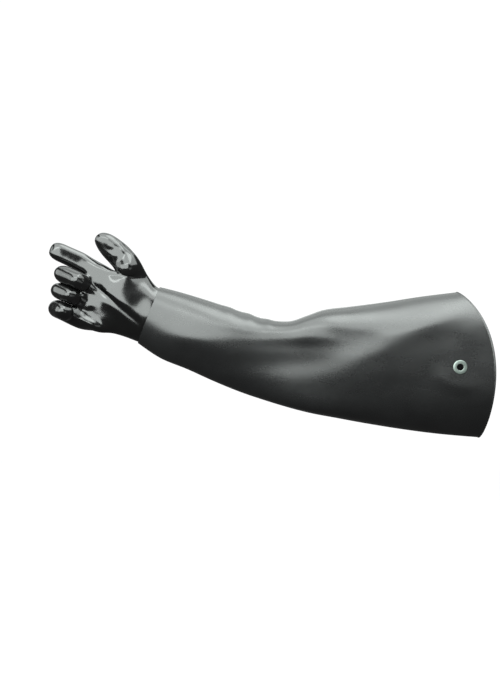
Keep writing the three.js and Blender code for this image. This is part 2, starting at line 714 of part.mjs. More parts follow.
const glove = new THREE.Group();
glove.add(handPiece(), sleevePiece(), eyeletPiece());

export default glove;
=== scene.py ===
"""A shoulder-length neoprene work glove in the form that it has on a bent arm: a glossy dipped hand, a
satin sleeve with its raised edge, and the metal eyelet clamped through it.

Metres, +Z up, origin in the middle of the arm opening, +X out of it and -Y the palm's side.
"""
import math

import bmesh
import bpy
from bpy.props import FloatProperty, FloatVectorProperty, IntProperty, PointerProperty
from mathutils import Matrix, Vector
from mathutils.noise import noise as noise_at


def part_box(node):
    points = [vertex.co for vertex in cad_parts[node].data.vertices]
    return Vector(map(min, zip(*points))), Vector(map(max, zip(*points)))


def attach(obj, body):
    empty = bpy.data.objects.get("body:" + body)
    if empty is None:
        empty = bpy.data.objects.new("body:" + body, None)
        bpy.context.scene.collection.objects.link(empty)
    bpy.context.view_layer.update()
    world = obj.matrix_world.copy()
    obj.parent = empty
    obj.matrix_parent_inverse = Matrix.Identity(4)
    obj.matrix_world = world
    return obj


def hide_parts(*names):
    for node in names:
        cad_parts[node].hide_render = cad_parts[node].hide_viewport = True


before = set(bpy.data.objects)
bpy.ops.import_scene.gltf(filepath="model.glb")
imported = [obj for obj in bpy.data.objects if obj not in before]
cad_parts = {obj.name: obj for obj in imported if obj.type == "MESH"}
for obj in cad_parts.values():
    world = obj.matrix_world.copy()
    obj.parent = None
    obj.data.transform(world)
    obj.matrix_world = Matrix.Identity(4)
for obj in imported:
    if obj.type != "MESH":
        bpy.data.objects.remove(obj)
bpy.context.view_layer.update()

bl_info = {
    "name": "Neoprene glove",
    "version": (1, 0, 0),
    "blender": (4, 5, 0),
    "location": "View3D > Sidebar > Glove",
    "description": "Builds a shoulder-length neoprene work glove with its sleeve and eyelet",
    "category": "Add Mesh",
}

EYELET_LOW, EYELET_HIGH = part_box("eyelet")

# Sections of the sleeve from the wrist to the opening. along is the share of the reach that is left to
# the opening, rise the share of the wrist's rise; height and depth say how far the section has grown
# from the wrist's size (0) to the opening's (1); lean is the section's slope in degrees; edge is 1 for
# an ellipse and grows as the top and bottom get sharper.
SECTION_COLUMNS = ("along", "rise", "height", "depth", "lean", "edge")
SLEEVE_SECTIONS = (
    (1.0, 1.0, 0.0, 0.0, 21.6, 1.0),
    (0.9335, 0.795, 0.102, 0.24, 16.3, 1.0),
    (0.855, 0.613, 0.134, 0.52, 14.6, 1.0),
    (0.78, 0.42, 0.174, 0.76, 11.5, 1.0),
    (0.705, 0.234, 0.204, 0.95, 7.3, 0.92),
    (0.636, 0.095, 0.233, 1.1, 3.6, 0.7),
    (0.567, 0.01, 0.307, 1.19, 0.0, 0.56),
    (0.507, 0.01, 0.436, 1.24, -2.9, 0.56),
    (0.443, 0.025, 0.561, 1.29, -5.8, 0.7),
    (0.363, 0.005, 0.656, 1.29, -6.4, 0.92),
    (0.253, -0.01, 0.778, 1.24, -6.7, 1.14),
    (0.141, -0.005, 0.901, 1.14, -7.4, 1.18),
    (0.0215, 0.005, 1.0, 1.0, -8.6, 1.2),
)

# Dents and soft ridges of the sleeve. along is a share of the reach, up of the opening's height, length
# and breadth of the same two, and deep of the opening's depth (negative where the skin stands out);
# tilt turns the dent, in degrees; side is -1 on the palm's side and 1 behind.
DENT_COLUMNS = ("along", "up", "length", "breadth", "deep", "tilt", "side")
DENTS = (
    (0.6, 0.027, 0.278, 0.162, 0.139, 2.7, -1),
    (0.558, -0.191, 0.254, 0.166, 0.116, 0.9, -1),
    (0.585, 0.14, 0.206, 0.058, 0.019, -0.6, -1),
    (0.167, 0.26, 0.203, 0.082, -0.04, 26.0, -1),
    (0.9, 0.17, 0.14, 0.09, -0.04, -14.0, -1),
    (0.17, -0.1, 0.2, 0.22, 0.06, 14.0, -1),
    (0.5, 0.04, 0.16, 0.12, 0.08, 0.0, 1),
    (0.2, 0.05, 0.22, 0.2, 0.05, -10.0, 1),
)

# Small gathers over the inside of the elbow: place and width as shares of the reach, rise as a share of
# the opening's height.
GATHERS = ((0.754, 0.013, 0.006), (0.693, 0.015, 0.007), (0.636, 0.013, 0.006))
GATHER_FROM = 0.55  # they start this far up the sleeve's half height

# The edge at the opening bows out: how round the bow is, how much further it runs at the top than at
# the bottom, its share behind, and the sections over which it fades in. The wrist's sections have no
# dents.
BOW_ROUND = 0.75
BOW_LIFT = 0.26
BOW_BEHIND = 0.55
BOW_ROWS = 3
PLAIN_ROWS = 2

# Rings of the sleeve: their distances from the edge, with the share of the edge's rise that each has,
# and their places along the sections at the wrist. Between them they stand evenly.
EDGE_RINGS = ((0.0048, 0.0), (0.0036, 0.8), (0.0024, 1), (0.0008, 1), (0, 0.7))
NEAR_EDGE = (0.012, 0.008)
NEAR_WRIST = (0.0, 0.012, 0.04)
EVEN_FROM = 0.13
EVEN_TO = 0.018
PROBE = 0.01  # how far apart the skin is probed for its slope, in sections and in radians

# Sections of the palm from the hem to the ball of the fingers, as shares of the hand's length (out),
# breadth (radial, ulnar and the places across) and thickness (back, pad, hollow, heel). round is 1
# where the thumb's side of the front is an ellipse, and less where it is squarer.
PALM_COLUMNS = ("out", "radial", "ulnar", "back", "pad", "hollow", "heel", "pad_at", "heel_at", "round")
PALM_SECTIONS = (
    (0.13, 0.54, -0.442, 0.64, 0.78, 0.62, 0.72, -0.1, -0.34, 1.0),
    (0.25, 0.47, -0.462, 0.56, 0.92, 0.58, 0.74, -0.04, -0.35, 0.45),
    (0.37, 0.425, -0.512, 0.52, 0.88, 0.54, 0.72, 0.04, -0.36, 0.3),
)
PAD_WIDTH = {"thumb": 0.36, "little": 0.13}  # how far the pad reaches to either side
HEEL_WIDTH = 0.1
PALM_ROUND = 0.75
FACING = (0.05, 0.5)  # marks fade in where the skin turns to the palm's side

# Swellings and creases of the palm's side: the ball of the thumb, the long crease round it in two
# lengths, the crease under the thumb's crotch, a finer one in it, and the edge of the hand. along and
# length are shares of the hand's length, across and breadth of its breadth, rise of its thickness, and
# tilt is in degrees.
MARK_COLUMNS = ("along", "across", "length", "breadth", "rise", "tilt")
HAND_MARKS = (
    (0.32, 0.5, 0.1, 0.19, 0.25, 0.0),
    (0.25, -0.054, 0.3125, 0.049, -0.067, 17.8),
    (0.469, 0.071, 0.115, 0.054, -0.067, 20.0),
    (0.41, 0.335, 0.1, 0.06, -0.05, -4.0),
    (0.38, 0.37, 0.08, 0.03, -0.05, -9.0),
    (0.406, -0.446, 0.167, 0.07, 0.17, 6.0),
)

# Wrinkled places of the palm's side: along, radius and breadth are shares of the hand's length, across
# of its breadth and rise of its thickness.
WRINKLE_COLUMNS = ("along", "across", "radius", "rise", "breadth")
HAND_WRINKLES = (
    (0.479, 0.643, 0.125, 0.067, 0.0625),
    (0.615, 0.018, 0.115, 0.05, 0.052),
    (0.583, -0.321, 0.115, 0.05, 0.052),
)

# The four fingers, from the forefinger. knuckle and across place the knuckle as shares of the hand's
# length and breadth; breadth and root, the breadth at the knuckle, are shares of a finger's; first,
# middle and end are the bones' lengths as shares of the hand's; knuckle_bend, middle_bend and end_bend
# are in degrees, splay is the turn towards the thumb, and roll turns the finger's palm side up to it.
FINGER_COLUMNS = (
    "knuckle", "across", "breadth", "root", "first", "middle", "end",
    "knuckle_bend", "middle_bend", "end_bend", "splay", "roll",
)
FINGERS = (
    (0.51, 0.342, 1.13, 1.0, 0.238, 0.14, 0.137, 3, 4, 1, 3, 14),
    (0.54, 0.078, 1.06, 1.0, 0.34, 0.177, 0.145, 28, 122, 58, 2.2, 0),
    (0.515, -0.168, 0.98, 1.0, 0.332, 0.161, 0.125, 24, 114, 78, 1.5, 0),
    (0.49, -0.435, 1.06, 1.22, 0.317, 0.125, 0.11, 26, 100, 84, 2.5, 0),
)
FINGER_DEPTH_SHARE = 0.86
ROLL_LENGTH = 0.5  # the finger has its roll this far along its first bone
PALM_CORNER = 1.2  # the finger's palm side is squarer than an ellipse at its corners
PALM_MIDDLE = 0.92  # and flatter in its middle

# The rings through all the fingers' roots: behind and front are shares of the hand's thickness, edge of
# the outer fingers' breadth, and the webs lie at WEB of the hand's length.
KNUCKLE_RING = {"behind": 0.56, "front": 0.6, "edge": 0.98}
WEB_RING = {"behind": 0.4, "front": 0.42, "edge": 1.0}
WEB = 0.105
VALLEY = 0.74  # depth between two roots as a share of the depth at a root
EDGE_INSET = 0.25

# A finger's joint: its breadth, its reach to either side, the crease inside it, and the two rings that
# round the fingertip (back from the tip, and size, as shares of the half breadth and of the size).
JOINT_SWELL = 1.03
JOINT_REACH = {"least": 0.45, "share": 1.03}
CREASE_SHARE = 0.9
CREASE_MOST = 1.5
FINGERTIP_RINGS = ((0.75, 0.95), (0.15, 0.64))

# Rings of the thumb. out and across are shares of the hand's length and breadth, half and deep of the
# thumb's breadth, drop of the hand's thickness, and heading is in degrees from the hand's axis.
THUMB_COLUMNS = ("out", "across", "half", "deep", "drop", "heading")
THUMB_RINGS = (
    (0.3, 0.548, 0.57, 0.44, 0.16, 52),
    (0.345, 0.603, 0.565, 0.4, 0.18, 26),
    (0.44, 0.679, 0.57, 0.36, 0.2, 25),
    (0.543, 0.744, 0.525, 0.32, 0.22, 24),
    (0.619, 0.799, 0.41, 0.27, 0.24, 24),
    (0.668, 0.821, 0.24, 0.17, 0.25, 24),
)
THUMB_END = (0.685, 0.834)

EYELET_SIDES = 48
DRILL_DEPTH = 0.012
HAND_SIDES = 20
SMOOTH_8 = (2 + math.sqrt(0.5)) / 3  # how far smoothing draws an eight-sided ring in
SMOOTH_20 = (2 + math.cos(math.pi / 10)) / 3
CORNER = math.sqrt(0.5)
EIGHT = (
    (CORNER, CORNER), (0, 1), (-CORNER, CORNER), (-1, 0),
    (-CORNER, -CORNER), (0, -1), (CORNER, -CORNER), (1, 0),
)


def rows_of(columns, table):
    return [dict(zip(columns, row)) for row in table]


SECTIONS = rows_of(SECTION_COLUMNS, SLEEVE_SECTIONS)
DENT_ROWS = rows_of(DENT_COLUMNS, DENTS)
PALM = rows_of(PALM_COLUMNS, PALM_SECTIONS)
FINGER_ROWS = rows_of(FINGER_COLUMNS, FINGERS)
THUMB = rows_of(THUMB_COLUMNS, THUMB_RINGS)
MARKS = rows_of(MARK_COLUMNS, HAND_MARKS)
WRINKLES = rows_of(WRINKLE_COLUMNS, HAND_WRINKLES)


def length(name, description, default):
    return FloatProperty(
        name=name, description=description, default=default, min=0, subtype="DISTANCE", unit="LENGTH"
    )


def colour(name, description, default):
    return FloatVectorProperty(
        name=name, description=description, default=default, size=3, min=0, max=1, subtype="COLOR"
    )


class GloveSizes(bpy.types.PropertyGroup):
    """Sizes of the glove"""

    wall: length("Wall", "Thickness of the rubber", 0.0015)
    reach: length("Sleeve reach", "Level distance from the opening to the wrist seam", 0.548)
    wrist_rise: length("Wrist rise", "The wrist seam's middle above the opening's", 0.084)
    mouth_height: length("Opening height", "Height of the arm opening", 0.247)
    mouth_depth: length("Opening depth", "Depth of the arm opening", 0.1)
    mouth_bow: length("Opening bow", "How far the edge runs out past its corners", 0.0435)
    wrist_height: length("Wrist height", "Height of the sleeve at the wrist seam", 0.1014)
    wrist_depth: length("Wrist depth", "Depth of the sleeve at the wrist seam", 0.058)
    bead_rise: length("Edge rise", "How far the edge is raised", 0.0008)
    lap: length("Lap", "How far the hand's hem runs up inside the sleeve", 0.012)
    clearance: length("Clearance", "Gap between the pieces", 0.0003)
    hand_length: length("Hand length", "Wrist seam to forefinger tip", 0.192)
    hand_breadth: length("Hand breadth", "Breadth over the knuckles", 0.112)
    hand_thickness: length("Hand thickness", "Thickness of the palm", 0.036)
    finger_breadth: length("Finger breadth", "Breadth of a finger", 0.0266)
    thumb_breadth: length("Thumb breadth", "Breadth of the thumb", 0.041)
    hand_tilt: FloatProperty(
        name="Hand tilt",
        description="How far the hand points above the level",
        default=math.radians(21.6),
        subtype="ANGLE",
        unit="ROTATION",
    )
    eyelet_bore: length("Eyelet bore", "Hole through the eyelet", 0.011)
    eyelet_flange: length("Eyelet flange", "Outer breadth of the eyelet", 0.024)
    eyelet_thickness: length("Eyelet thickness", "Thickness of the flange", 0.0012)
    eyelet_barrel: length("Eyelet barrel", "Wall of the barrel", 0.0008)
    seat_radius: length("Seat radius", "The sleeve lies flat this far round the eyelet", 0.028)
    seat_fade: length("Seat fade", "And this much further it is its own shape again", 0.022)
    sleeve_sides: IntProperty(name="Sleeve sides", description="Faces round the sleeve", default=96)
    sleeve_rings: IntProperty(name="Sleeve rings", description="Faces along the sleeve", default=104)


class GloveFinish(bpy.types.PropertyGroup):
    """Colours and gloss of the glove"""

    hand: colour("Hand", "Colour of the dipped hand", (0.0022, 0.0022, 0.0022))
    sleeve: colour("Sleeve", "Colour of the sleeve", (0.006, 0.0061, 0.0063))
    eyelet: colour("Eyelet", "Colour of the metal", (0.2, 0.235, 0.215))
    hand_roughness: FloatProperty(
        name="Hand roughness", description="Roughness of the hand", default=0.13, subtype="FACTOR"
    )
    sleeve_roughness: FloatProperty(
        name="Sleeve roughness", description="Roughness of the sleeve", default=0.28, subtype="FACTOR"
    )


class StageSizes(bpy.types.PropertyGroup):
    """The floor, the lights and the camera"""

    floor_drop: length("Floor drop", "Floor below the opening's middle", 0.72)
    floor_breadth: length("Floor breadth", "Breadth and depth of the floor", 30.0)
    camera_distance: length("Camera distance", "Camera to the object", 5.0)
    frame_height: length("Frame height", "Height that the camera sees at the object", 1.176)
    centre_x: FloatProperty(name="Centre X", description="Middle of the view", default=-0.378, unit="LENGTH")
    centre_z: FloatProperty(name="Centre Z", description="Middle of the view", default=0.0252, unit="LENGTH")


def bump(t):
    """1 at 0 and a third at 1."""
    return math.exp(-1.1 * t * t)


def smooth(value, low, high):
    t = min(max((value - low) / (high - low), 0.0), 1.0)
    return t * t * (3 - 2 * t)


def mix(a, b, share):
    return a + (b - a) * share


def on_curve(rows, column, place):
    """A value of a table's column between its rows, on a smooth curve through them."""
    last = len(rows) - 1
    i = min(max(math.floor(place), 0), last - 1)
    t = place - i
    a, b, c, d = (rows[min(max(k, 0), last)][column] for k in range(i - 1, i + 3))
    t2, t3 = t * t, t * t * t
    return (
        (2 * t3 - 3 * t2 + 1) * b
        + (t3 - 2 * t2 + t) * (c - a) / 2
        + (3 * t2 - 2 * t3) * c
        + (t3 - t2) * (d - b) / 2
    )


# The sleeve's skin


def dent_depth(p, x, z, side):
    total = 0.0
    for dent in DENT_ROWS:
        if dent["side"] != side:
            continue
        dx = x + dent["along"] * p.reach
        dz = z - dent["up"] * p.mouth_height
        tilt = math.radians(dent["tilt"])
        a = (dx * math.cos(tilt) + dz * math.sin(tilt)) / (dent["length"] * p.reach)
        b = (dz * math.cos(tilt) - dx * math.sin(tilt)) / (dent["breadth"] * p.mouth_height)
        total += dent["deep"] * p.mouth_depth * bump(a) * bump(b)
    return total


def gather_rise(p, x, up):
    total = sum(
        rise * p.mouth_height * bump((x + along * p.reach) / (width * p.reach))
        for along, width, rise in GATHERS
    )
    return total * smooth(up, GATHER_FROM, 1.0)


def skin_point(p, place, turn):
    """A point of the sleeve's outer skin. place runs along the sections, turn down the palm's side."""
    last = len(SECTIONS) - 1
    row = {column: on_curve(SECTIONS, column, place) for column in SECTION_COLUMNS}
    up = math.cos(turn)
    side = -1 if math.sin(turn) > 0 else 1
    half_height = mix(p.wrist_height, p.mouth_height, row["height"]) / 2
    half_depth = mix(p.wrist_depth, p.mouth_depth, row["depth"]) / 2
    lean = math.radians(row["lean"])
    bulge = abs(math.sin(turn)) ** row["edge"]
    bow = p.mouth_bow * (1 if side < 0 else BOW_BEHIND) * (1 - up * up) ** BOW_ROUND * (1 + BOW_LIFT * up)
    x = -row["along"] * p.reach + half_height * up * math.sin(lean)
    z = row["rise"] * p.wrist_rise + half_height * up * math.cos(lean)
    x += bow * smooth(place, last - BOW_ROWS, last)
    depth = bulge * (half_depth - smooth(place, 0, PLAIN_ROWS) * dent_depth(p, x, z, side))
    return Vector((x, side * depth, z + gather_rise(p, x, up)))


def eyelet_seat(p):
    middle = (EYELET_LOW + EYELET_HIGH) / 2
    return Vector((middle.x, EYELET_LOW.y + p.eyelet_thickness + p.clearance, middle.z))


def sleeve_point(p, place, turn):
    point = skin_point(p, place, turn)
    if math.sin(turn) > 0:
        seat = eyelet_seat(p)
        away = math.hypot(point.x - seat.x, point.z - seat.z)
        point.y = mix(seat.y, point.y, smooth(away, p.seat_radius, p.seat_radius + p.seat_fade))
    return point


# The hand's cage, in its own frame: x out along the hand, y towards the thumb, z to its back


def hem_ring(p, out, inset):
    half_breadth = (p.wrist_height / 2 - inset) / SMOOTH_20
    half_depth = (p.wrist_depth / 2 - inset) / SMOOTH_20
    turns = [k / HAND_SIDES * 2 * math.pi for k in range(HAND_SIDES)]
    return [Vector((out, half_breadth * math.cos(t), half_depth * math.sin(t))) for t in turns]


def palm_ring(p, row):
    middle = (row["radial"] + row["ulnar"]) / 2 * p.hand_breadth
    half = (row["radial"] - row["ulnar"]) / 2 * p.hand_breadth
    ring = []
    for k in range(HAND_SIDES):
        turn = k / HAND_SIDES * 2 * math.pi
        across = middle + half * math.cos(turn)
        share = across / p.hand_breadth
        pad_width = PAD_WIDTH["thumb" if share > row["pad_at"] else "little"]
        full = row["round"] if math.sin(turn) < -1e-9 and math.cos(turn) > 1e-9 else PALM_ROUND
        roundness = abs(math.sin(turn)) ** full if abs(math.sin(turn)) > 1e-9 else 0.0
        front = (
            row["hollow"]
            + (row["pad"] - row["hollow"]) * bump((share - row["pad_at"]) / pad_width)
            + (row["heel"] - row["hollow"]) * bump((share - row["heel_at"]) / HEEL_WIDTH)
        )
        depth = (row["back"] if math.sin(turn) > 0 else -front) * p.hand_thickness * roundness
        ring.append(Vector((row["out"] * p.hand_length, across, depth)))
    return ring


def finger_frame(p, finger, distance):
    """Centre, direction, across and back at a distance from the knuckle; half way round at a joint."""
    bends = [math.radians(finger[name]) for name in ("knuckle_bend", "middle_bend", "end_bend")]
    lengths = [finger["first"] * p.hand_length, finger["middle"] * p.hand_length, math.inf]
    centre = Vector((finger["knuckle"] * p.hand_length, finger["across"] * p.hand_breadth, 0))
    splay = math.radians(finger["splay"])

    def direction(angle):
        flat = math.cos(angle)
        return Vector((flat * math.cos(splay), flat * math.sin(splay), -math.sin(angle)))

    def framed(along):
        flat = Vector((-math.sin(splay), math.cos(splay), 0))
        back = along.cross(flat)
        turn = math.radians(finger["roll"]) * smooth(distance, 0, ROLL_LENGTH * lengths[0])
        across = flat * math.cos(turn) + back * math.sin(turn)
        return centre, along, across, along.cross(across)

    bend, left = 0.0, distance
    for joint in range(3):
        if joint > 0 and abs(left) < 1e-9:
            return framed(direction(bend + bends[joint] / 2))
        bend += bends[joint]
        step = min(left, lengths[joint])
        centre = centre + direction(bend) * step
        left -= step
        if left < -1e-9 or step < lengths[joint]:
            break
    return framed(direction(bend))


def finger_ring(frame_at, half, behind, front):
    centre, _, across, back = frame_at
    ring = []
    for side, rise in EIGHT:
        square = PALM_CORNER if rise < 0 and side else 1.0
        depth = behind if rise > 0 else front * (PALM_MIDDLE if side == 0 else square)
        ring.append(centre + across * (side * square * half / SMOOTH_8) + back * (rise * depth / SMOOTH_8))
    return ring


def finger_stations(p, finger):
    """Where the finger's cage has a ring: distance, half breadth, and depth behind and in front."""
    half = finger["breadth"] * p.finger_breadth / 2
    depth = half * FINGER_DEPTH_SHARE
    first = finger["first"] * p.hand_length
    second = first + finger["middle"] * p.hand_length
    end = second + finger["end"] * p.hand_length
    stations = []
    joints = ((first, finger["middle_bend"], JOINT_SWELL), (second, finger["end_bend"], 1))
    for at, bend, swell in joints:
        turned = math.radians(bend) / 2
        reach = depth * max(JOINT_REACH["least"], JOINT_REACH["share"] * math.tan(turned))
        crease = depth * max(1, CREASE_SHARE * min(1 / math.cos(turned), CREASE_MOST))
        drawn_in = reach * math.sin(turned) * SMOOTH_8 - depth * math.cos(turned)
        knuckle = 1.5 * depth + 0.5 * drawn_in
        stations.append((at - reach, half * swell, depth, depth))
        stations.append((at, half * swell, knuckle, crease))
        stations.append((at + reach, half * swell, depth, depth))
    for back, size in FINGERTIP_RINGS:
        stations.append((end - half * back, half * size, depth * size, depth * size))
    return stations, end


def knuckle_ring(p, distance, sizes):
    """A ring through all four fingers' roots, whose neighbours share the points between them."""
    behind = p.hand_thickness * sizes["behind"]
    in_front = p.hand_thickness * sizes["front"]
    frames = [finger_frame(p, finger, distance) for finger in FINGER_ROWS]
    halves = [finger["root"] * p.finger_breadth / 2 / SMOOTH_8 for finger in FINGER_ROWS]

    def between(i):
        if i == 0:
            return frames[0][0] + frames[0][2] * (halves[0] * sizes["edge"])
        if i == 4:
            return frames[3][0] - frames[3][2] * (halves[3] * sizes["edge"])
        return (frames[i - 1][0] + frames[i][0]) / 2

    def corner(i, by):
        one, other = max(i - 1, 0), min(i, 3)
        back = (frames[one][3] + frames[other][3]).normalized()
        inset = {0: -EDGE_INSET, 4: EDGE_INSET}.get(i, 0) * halves[other]
        return between(i) + Vector((0, inset, 0)) + back * by

    backs, fronts = [], []
    for i in range(5):
        backs.append(corner(i, behind * VALLEY))
        fronts.append(corner(i, -in_front * VALLEY))
        if i < 4:
            backs.append(frames[i][0] + frames[i][3] * behind)
            fronts.append(frames[i][0] - frames[i][3] * in_front)
    ring = [between(0), *backs, between(4), *reversed(fronts)]
    return ring, [between(i) for i in (1, 2, 3)]


def thumb_ring(p, row):
    heading = math.radians(row["heading"])
    across = Vector((math.sin(heading), -math.cos(heading), 0))
    centre = Vector(
        (row["out"] * p.hand_length, row["across"] * p.hand_breadth, -row["drop"] * p.hand_thickness)
    )
    half, deep = row["half"] * p.thumb_breadth, row["deep"] * p.thumb_breadth
    return [centre - across * (side * half) + Vector((0, 0, rise * deep)) for side, rise in EIGHT]


# Modelling


def only(piece):
    """Selects this piece alone and makes it the active one."""
    bpy.ops.object.select_all(action="DESELECT")
    piece.select_set(True)
    bpy.context.view_layer.objects.active = piece


def named_primitive(name):
    piece = bpy.context.active_object
    piece.name = name
    piece.data.name = name
    return piece


def apply_modifier(piece, kind, **settings):
    modifier = piece.modifiers.new(kind.title(), kind)
    for key, value in settings.items():
        setattr(modifier, key, value)
    only(piece)
    bpy.ops.object.modifier_apply(modifier=modifier.name)


def select_at(piece, places):
    """Selects the cage's points at these places."""
    mesh = bmesh.from_edit_mesh(piece.data)
    bpy.ops.mesh.select_all(action="DESELECT")
    for v in mesh.verts:
        if any((v.co - q).length_squared < 1e-12 for q in places):
            v.select_set(True)
    mesh.select_flush(True)
    bmesh.update_edit_mesh(piece.data)


def move_points(piece, olds, news):
    """Puts each selected point, which stands at one of olds, at its place in news."""
    mesh = bmesh.from_edit_mesh(piece.data)
    for v in mesh.verts:
        if v.select:
            nearest = min(range(len(olds)), key=lambda i: (olds[i] - v.co).length_squared)
            v.co = news[nearest]
    bmesh.update_edit_mesh(piece.data)


def extrude_tube(piece, rings):
    """Draws an open ring out through the rings that follow."""
    for old, new in zip(rings, rings[1:]):
        select_at(piece, old)
        bpy.ops.mesh.extrude_edges_move()
        move_points(piece, old, new)


def extrude_cap(piece, ring, middle, stages):
    """Draws four faces round a middle point out through the stages, each a ring of eight and a middle."""
    olds = [*ring, middle]
    select_at(piece, olds)
    for new_ring, new_middle in stages:
        news = [*new_ring, new_middle]
        bpy.ops.mesh.extrude_region_move()
        move_points(piece, olds, news)
        olds = news


def face_outwards(piece):
    """Turns every face outwards; a piece at this stage is one skin without a wall."""
    only(piece)
    bpy.ops.object.mode_set(mode="EDIT")
    bpy.ops.mesh.select_all(action="SELECT")
    bpy.ops.mesh.normals_make_consistent(inside=False)
    bpy.ops.object.mode_set(mode="OBJECT")


def shade_smooth(piece):
    only(piece)
    bpy.ops.object.shade_smooth()


class GLOVE_OT_hand(bpy.types.Operator):
    """Models the glossy hand with its thumb and four fingers"""

    bl_idname = "glove.hand"
    bl_label = "Hand"

    def execute(self, context):
        p = context.scene.glove_sizes
        knuckles, _ = knuckle_ring(p, 0, KNUCKLE_RING)
        roots, webs = knuckle_ring(p, WEB * p.hand_length, WEB_RING)
        palm = [palm_ring(p, row) for row in PALM]
        rings = [
            hem_ring(p, -p.lap, 1.5 * p.wall + 3 * p.clearance),
            hem_ring(p, 0, p.wall + 2 * p.clearance),
            hem_ring(p, p.lap / 2, p.wall + 2 * p.clearance),
            *palm,
            knuckles,
            roots,
        ]
        bpy.ops.object.select_all(action="DESELECT")
        bpy.ops.mesh.primitive_circle_add(vertices=HAND_SIDES, radius=1, fill_type="NOTHING")
        piece = named_primitive("dipped_hand")
        for vertex, place in zip(piece.data.vertices, rings[0]):
            vertex.co = place
        bpy.ops.object.mode_set(mode="EDIT")
        bpy.ops.mesh.select_mode(type="VERT")
        extrude_tube(piece, rings)
        self.close_roots(piece, roots, webs)
        self.draw_fingers(p, piece, roots, webs)
        self.draw_thumb(p, piece, *palm)
        bpy.ops.object.mode_set(mode="OBJECT")
        face_outwards(piece)
        apply_modifier(piece, "SUBSURF", levels=3, render_levels=3)
        self.mark_palm(p, piece)
        apply_modifier(piece, "SOLIDIFY", thickness=p.wall, offset=-1)
        self.tilt(p, piece)
        shade_smooth(piece)
        piece.data.materials.append(hand_rubber(context.scene.glove_finish))
        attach(piece, "root")
        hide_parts("hand")
        return {"FINISHED"}

    def middles(self, roots):
        """The middle of each finger's root, from four points round it."""
        return [
            (roots[2 * f + 1] + roots[2 * f + 3] + roots[17 - 2 * f] + roots[19 - 2 * f]) / 4
            for f in range(4)
        ]

    def close_roots(self, piece, roots, webs):
        """Closes the palm's end with a grid two faces deep, whose middle line runs through the webs."""
        select_at(piece, roots)
        mesh = bmesh.from_edit_mesh(piece.data)
        before = len(mesh.verts)
        corner = min(mesh.verts, key=lambda v: (v.co - roots[1]).length_squared)
        mesh.select_history.clear()
        mesh.select_history.add(corner)
        bmesh.update_edit_mesh(piece.data)
        bpy.ops.mesh.fill_grid(span=8, offset=0)
        mesh = bmesh.from_edit_mesh(piece.data)
        targets = [*self.middles(roots), *webs]
        inner = [v for v in mesh.verts if v.select and min((v.co - q).length for q in roots) > 1e-6]
        if len(mesh.verts) != before + 7 or len(inner) != 7:
            raise RuntimeError("the grid over the fingers' roots came out wrong")
        for place in targets:
            nearest = min(inner, key=lambda v: (v.co - place).length_squared)
            inner.remove(nearest)
            nearest.co = place
        bmesh.update_edit_mesh(piece.data)

    def draw_fingers(self, p, piece, roots, webs):
        edge = [roots[0], *webs, roots[10]]
        middles = self.middles(roots)
        for f, finger in enumerate(FINGER_ROWS):
            back = [roots[2 * f + k] for k in (1, 2, 3)]
            front = [roots[HAND_SIDES - 2 * f - k] for k in (3, 2, 1)]
            ring = [*back, edge[f + 1], *front, edge[f]]
            stations, end = finger_stations(p, finger)
            stages = []
            for at, half, behind, in_front in stations:
                frame_at = finger_frame(p, finger, at)
                stages.append((finger_ring(frame_at, half, behind, in_front), frame_at[0]))
            stages[-1] = (stages[-1][0], finger_frame(p, finger, end)[0])
            extrude_cap(piece, ring, middles[f], stages)

    def draw_thumb(self, p, piece, low, mid, high):
        ring = [low[1], mid[1], high[1], high[0], high[19], mid[19], low[19], low[0]]
        stages = []
        for row in THUMB:
            new = thumb_ring(p, row)
            stages.append((new, sum(new, Vector()) / len(new)))
        out, across = THUMB_END
        tip = Vector((out * p.hand_length, across * p.hand_breadth, -THUMB[-1]["drop"] * p.hand_thickness))
        stages[-1] = (stages[-1][0], tip)
        extrude_cap(piece, ring, mid[0], stages)

    def mark_palm(self, p, piece):
        """Raises the swellings, creases and wrinkles of the palm's side, past the hem."""
        moved = []
        for vertex in piece.data.vertices:
            c = vertex.co
            facing = smooth(-vertex.normal.z, *FACING) * smooth(c.x, p.lap / 6, p.lap)
            if not facing:
                continue
            rise = 0.0
            for mark in MARKS:
                dx = c.x - mark["along"] * p.hand_length
                dy = c.y - mark["across"] * p.hand_breadth
                tilt = math.radians(mark["tilt"])
                a = (dx * math.cos(tilt) + dy * math.sin(tilt)) / (mark["length"] * p.hand_length)
                b = (dy * math.cos(tilt) - dx * math.sin(tilt)) / (mark["breadth"] * p.hand_breadth)
                rise += mark["rise"] * p.hand_thickness * bump(a) * bump(b)
            for wrinkle in WRINKLES:
                dx = c.x - wrinkle["along"] * p.hand_length
                dy = c.y - wrinkle["across"] * p.hand_breadth
                away = math.hypot(dx, dy) / (wrinkle["radius"] * p.hand_length)
                crumple = noise_at(c / (wrinkle["breadth"] * p.hand_length))
                rise += wrinkle["rise"] * p.hand_thickness * bump(away) * crumple
            moved.append((vertex, vertex.normal * (rise * facing)))
        for vertex, shift in moved:
            vertex.co += shift
        piece.data.update()

    def tilt(self, p, piece):
        out = Vector((-math.cos(p.hand_tilt), 0, math.sin(p.hand_tilt)))
        thumbwards = Vector((math.sin(p.hand_tilt), 0, math.cos(p.hand_tilt)))
        wrist = Vector((-p.reach, 0, p.wrist_rise))
        for vertex in piece.data.vertices:
            c = vertex.co
            vertex.co = wrist + out * c.x + thumbwards * c.y + Vector((0, c.z, 0))
        piece.data.update()


